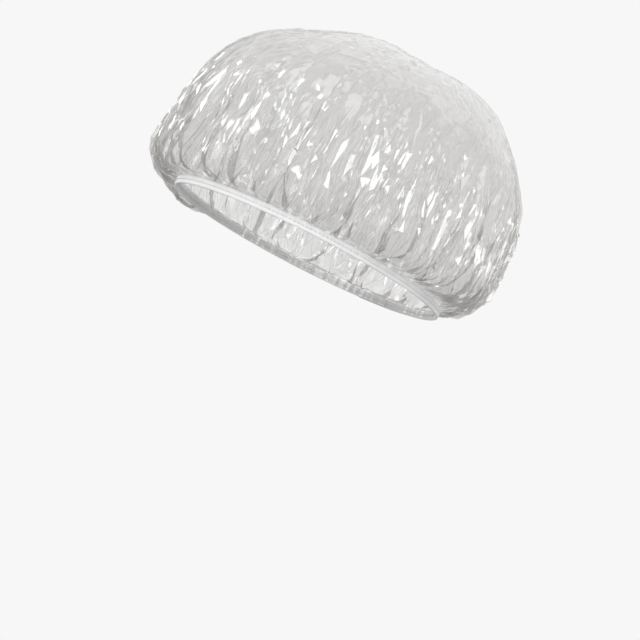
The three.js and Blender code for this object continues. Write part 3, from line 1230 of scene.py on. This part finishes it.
@dataclass(frozen=True)
class FilmFinish:
    """Thin clear film, bright on its facets, greyer along its creases, partly from the creases' own haze and
    partly from painted shade along the folds, and clearer where it turns away.
    """

    deep: Colour = (0.24, 0.23, 0.216)
    pale: Colour = (0.38, 0.366, 0.345)
    grain: Span = (26.0, 120.0)
    body: float = 0.36
    most_cover: float = 0.92
    crease_haze_and_shade_share: float = 0.2
    crease_width: float = 0.4
    edge_share: float = 0.15
    edge_power: float = 2.0
    gloss: Span = (0.04, 0.1)
    ior: float = 1.5
    skin_ior: float = 2.25
    skin_roughness: float = 0.04
    facet_scale: float = 300.0
    facet_tilt: float = 0.11
    streak_scale: float = 400.0
    streak_height: float = 0.0014

    def relief(self, w: Wiring, place: Socket) -> Socket:
        """Small tilted facets and fine streaks up the film.

        Args:
            w: Wiring of the finish.
            place: Places on the flat film.

        Returns:
            The normal.
        """
        cell = w.node("ShaderNodeTexVoronoi", {"Vector": place, "Scale": self.facet_scale}).outputs
        tilt = w.vector("SUBTRACT", cell["Color"], (0.5, 0.5, 0.5))
        across = w.vector("SUBTRACT", place, cell["Position"])
        facets = w.bump(w.vector("DOT_PRODUCT", tilt[0], across[0])["Value"], self.facet_tilt, Strength=1.0)
        course = {"Vector": w.attribute("meridian", "Vector"), "Scale": self.streak_scale, "Detail": 1.0}
        streak = w.node("ShaderNodeTexNoise", course).outputs[0]
        return w.bump(streak, self.streak_height, Strength=1.0, Normal=facets)

    def material(self, effects: Effects) -> Material:
        """Builds the material.

        Args:
            effects: The shared node groups.

        Returns:
            The material.
        """
        material, w, shader = new_finish("clear_film")
        place = w.attribute("flat_film", "Vector")
        tone = effects.tone(w, self.grain, place)
        facing = w.node("ShaderNodeLayerWeight", {"Blend": 0.5}).outputs["Facing"]
        edge = w.math("MULTIPLY", w.math("POWER", facing, self.edge_power), self.edge_share)
        gaps = w.node("ShaderNodeSeparateXYZ", {0: w.attribute("crease_gap", "Vector")}).outputs
        gap = w.math("MINIMUM", w.math("MINIMUM", gaps[0], gaps[1]), gaps[2])
        # Along the creases the film is made more opaque in its grey colour: partly the creases' own haze,
        # partly painted shade along the folds.
        line = w.node("ShaderNodeMapRange", {0: gap, 2: self.crease_width, 3: 1.0, 4: 0.0}).outputs[0]
        folds = w.math("MULTIPLY", line, self.crease_haze_and_shade_share)
        cover = w.math("ADD", w.math("MULTIPLY", w.math("SUBTRACT", 1.0, edge), self.body), folds)
        inputs = {
            "Normal": self.relief(w, place),
            "Base Color": w.blend(tone, self.deep, self.pale),
            "Roughness": w.spread(tone, *self.gloss),
            "Alpha": w.math("MINIMUM", cover, self.most_cover),
            "IOR": self.ior,
            "Coat Weight": 1.0,
            "Coat Roughness": self.skin_roughness,
            "Coat IOR": self.skin_ior,
        }
        w.fill(shader, inputs)
        return material


@dataclass(frozen=True)
class GrainFinish:
    """Rubber, yarn or thread of uneven tone, with slanting fibres where these have a pitch, and painted shade
    in the grooves between the fibres.
    """

    name: str
    deep: Colour
    pale: Colour
    roughness: Span = (0.72, 0.9)
    grain: Span = (300.0, 2600.0)
    pitch: float = 0.0
    slant: float = 0.0
    groove_shade_share: float = 0.4
    fibre_height: float = 0.00006
    fibre_strength: float = 0.6
    sheen: float = 0.25

    def material(self, effects: Effects) -> Material:
        """Builds the material.

        Args:
            effects: The shared node groups.

        Returns:
            The material.
        """
        material, w, shader = new_finish(self.name)
        tone = share = effects.tone(w, self.grain)
        if self.pitch:
            fibre = effects.put(w, effects.twist, {"Pitch": self.pitch, "Slant": self.slant})
            # The fibre mask also goes into the colour, paler on the fibres and darker in the grooves between
            # them: painted shade.
            plain = w.math("MULTIPLY", tone, 1 - self.groove_shade_share)
            share = w.math("ADD", plain, w.math("MULTIPLY", fibre, self.groove_shade_share))
            normal = w.bump(fibre, self.fibre_height, Strength=self.fibre_strength)
            w.fill(shader, {"Normal": normal, "Sheen Weight": self.sheen})
        colour = w.blend(share, self.deep, self.pale)
        w.fill(shader, {"Base Color": colour, "Roughness": w.spread(tone, *self.roughness)})
        return material


def heading(azimuth: float, elevation: float) -> Vector:
    """Direction from the cap towards an azimuth and elevation in degrees."""
    turn, rise = math.radians(azimuth), math.radians(elevation)
    return Vector((math.sin(turn) * math.cos(rise), -math.cos(turn) * math.cos(rise), math.sin(rise)))


@dataclass(frozen=True)
class View:
    """The photograph's view, in degrees, metres and pixels of its square frame."""

    azimuth: float = 30.0
    elevation: float = -8.4
    roll: float = 26.0
    distance: float = 1.6
    aim_height: float = 0.055
    frame_side: float = 640.0
    focal: float = 2848.0
    seat: Span = (349.1, 165.7)
    sensor: float = 36.0

    def place(self) -> None:
        """Makes the camera."""
        back = heading(self.azimuth, self.elevation)
        data = bpy.data.cameras.new("camera")
        data.sensor_width = self.sensor
        data.lens = self.sensor * self.focal / self.frame_side
        camera = linked("camera", data)
        pan, tilt = (math.atan((pixel - self.frame_side / 2) / self.focal) for pixel in self.seat)
        turn = (-back).to_track_quat("-Z", "Y").to_matrix() @ Matrix.Rotation(math.radians(self.roll), 3, "Z")
        turn = turn @ Matrix.Rotation(pan, 3, "Y") @ Matrix.Rotation(tilt, 3, "X")
        spot = Vector((0, 0, self.aim_height)) + back * self.distance
        camera.matrix_world = Matrix.Translation(spot) @ turn.to_4x4()
        bpy.context.scene.camera = camera


@dataclass(frozen=True)
class Lamp:
    """A soft lamp aimed at the cap. Lengths are in metres."""

    name: str
    azimuth: float
    elevation: float
    distance: float
    width: float
    height: float
    power: float

    AIM_HEIGHT: ClassVar[float] = 0.06

    def place(self) -> None:
        """Makes the lamp."""
        back = heading(self.azimuth, self.elevation)
        data = bpy.data.lights.new(self.name, "AREA")
        data.shape = "RECTANGLE"
        data.size = self.width
        data.size_y = self.height
        data.energy = self.power
        lamp = linked(self.name, data)
        lamp.location = Vector((0, 0, self.AIM_HEIGHT)) + back * self.distance
        lamp.rotation_euler = (-back).to_track_quat("-Z", "Y").to_euler()


@dataclass(frozen=True)
class Studio:
    """Pale floor, pale backdrop and soft lamps. Lengths are in metres."""

    seen: Colour = (0.93, 0.93, 0.93)
    lit: Colour = (0.42, 0.42, 0.425)
    floor_side: float = 3.0
    floor_drop: float = 0.002
    floor_deep: Colour = (0.7, 0.7, 0.7)
    floor_pale: Colour = (0.74, 0.74, 0.74)
    floor_roughness: float = 0.9
    floor_grain: Span = (3.0, 60.0)
    lamps: tuple[Lamp, ...] = (
        Lamp("key_left", -22, 18, 4.5, 0.7, 2.6, 42),
        Lamp("key_right", 8, 18, 4.5, 0.7, 2.6, 42),
        Lamp("fill_left", 58, 16, 4.5, 0.7, 2.6, 40),
        Lamp("fill_right", 86, 16, 4.5, 0.7, 2.6, 40),
        Lamp("side", -84, 18, 4.5, 0.9, 2.6, 90),
        Lamp("high", 20, 58, 3.0, 2.4, 1.6, 24),
        Lamp("low", 32, 4, 4.5, 1.8, 0.6, 18),
        Lamp("back", 200, 60, 3.0, 3.0, 3.0, 16),
    )

    def build(self, effects: Effects) -> None:
        """Makes the world, the floor and the lamps.

        Args:
            effects: The shared node groups.
        """
        self.backdrop()
        half = self.floor_side / 2
        corners = np.array([(-half, -half), (half, -half), (half, half), (-half, half)])
        points = np.concatenate([corners, np.full((4, 1), -self.floor_drop)], 1) / MM
        floor = new_piece("floor", points, [(0, 1, 2, 3)], {})
        floor.data.materials.append(self.floor_finish(effects))
        for lamp in self.lamps:
            lamp.place()

    def backdrop(self) -> None:
        """Makes the world, paler where the eye, a reflection or a clear surface looks straight at it."""
        world = bpy.data.worlds.new("studio")
        bpy.context.scene.world = world
        world.use_nodes = True
        w = Wiring(world.node_tree)
        path = w.node("ShaderNodeLightPath").outputs
        direct = w.math("MAXIMUM", path["Is Camera Ray"], path["Is Glossy Ray"])
        direct = w.math("MAXIMUM", direct, path["Is Transmission Ray"])
        dim, pale = (w.node("ShaderNodeBackground", {"Color": (*tone, 1)}) for tone in (self.lit, self.seen))
        w.mixed(direct, dim, pale, "World Output")

    def floor_finish(self, effects: Effects) -> Material:
        """A pale floor that is clear from below.

        Args:
            effects: The shared node groups.

        Returns:
            The material.
        """
        material, w, shader = new_finish("pale_floor")
        tone = effects.tone(w, self.floor_grain)
        colour = w.blend(tone, self.floor_deep, self.floor_pale)
        w.fill(shader, {"Base Color": colour, "Roughness": self.floor_roughness})
        below = w.node("ShaderNodeNewGeometry").outputs["Backfacing"]
        w.mixed(below, shader, w.node("ShaderNodeBsdfTransparent"), "Material Output")
        return material


class ShowerCap:
    """The dressed cap: film, elastic and sewing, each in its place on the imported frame."""

    FLAT_DISC = 0.45
    FLAT_AREA = 0.159
    FINISHES: ClassVar[dict[str, FilmFinish | GrainFinish]] = {
        "film": FilmFinish(),
        "braid": GrainFinish("white_braid", (0.82, 0.82, 0.82), (0.93, 0.93, 0.925), pitch=0.22, slant=6.0),
        "thread": GrainFinish("pale_thread", (0.5, 0.515, 0.54), (0.66, 0.675, 0.7), pitch=0.45, slant=4.0),
        "rubber": GrainFinish(
            "cream_rubber", (0.6, 0.53, 0.4), (0.78, 0.72, 0.59), roughness=(0.42, 0.62), grain=(400, 3000)
        ),
    }

    def __init__(self) -> None:
        """Reads the sizes and prepares the finishes."""
        self.sizes = CapSizes.from_frame()
        self.effects = Effects()
        self.finishes = {slot: finish.material(self.effects) for slot, finish in self.FINISHES.items()}

    def fit(self, piece: Piece, node: str, slot: str) -> None:
        """Dresses a piece and puts it in the place of a solid.

        Args:
            piece: The piece.
            node: The solid that it stands for.
            slot: The record's name for its finish.
        """
        piece.data.materials.append(self.finishes[slot])
        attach(piece, BODY)
        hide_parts(node)
        LOG.info("%s: %d faces, for %s", piece.name, len(piece.data.polygons), node)

    def build(self) -> None:
        """Makes and dresses every piece."""
        band = ElasticBand(self.sizes, RimLine(self.sizes))
        sewing = Stitching(band)
        film = CrownFilm(self.sizes).build()
        self.fit(film, "crown_film", "film")
        braid = band.build_braid(sewing.stitch)
        self.fit(braid, "elastic_band", "braid")
        for number, strand in enumerate(band.build_strands(), 1):
            self.fit(strand, f"rubber_strand_{number}", "rubber")
        for node, piece in sewing.build().items():
            self.fit(piece, node, "thread")


def main() -> None:
    """Builds the camera, the cap and the studio, and notes the two boxes."""
    logging.basicConfig(level=logging.INFO)
    View().place()
    cap = ShowerCap()
    LOG.info("%s", cap.sizes)
    cap.build()
    Studio().build(cap.effects)
    scene = bpy.context.scene
    scene.view_settings.view_transform = "Standard"
    scene.cycles.transparent_max_bounces = CLEAR_LAYERS


if __name__ == "__main__":
    main()
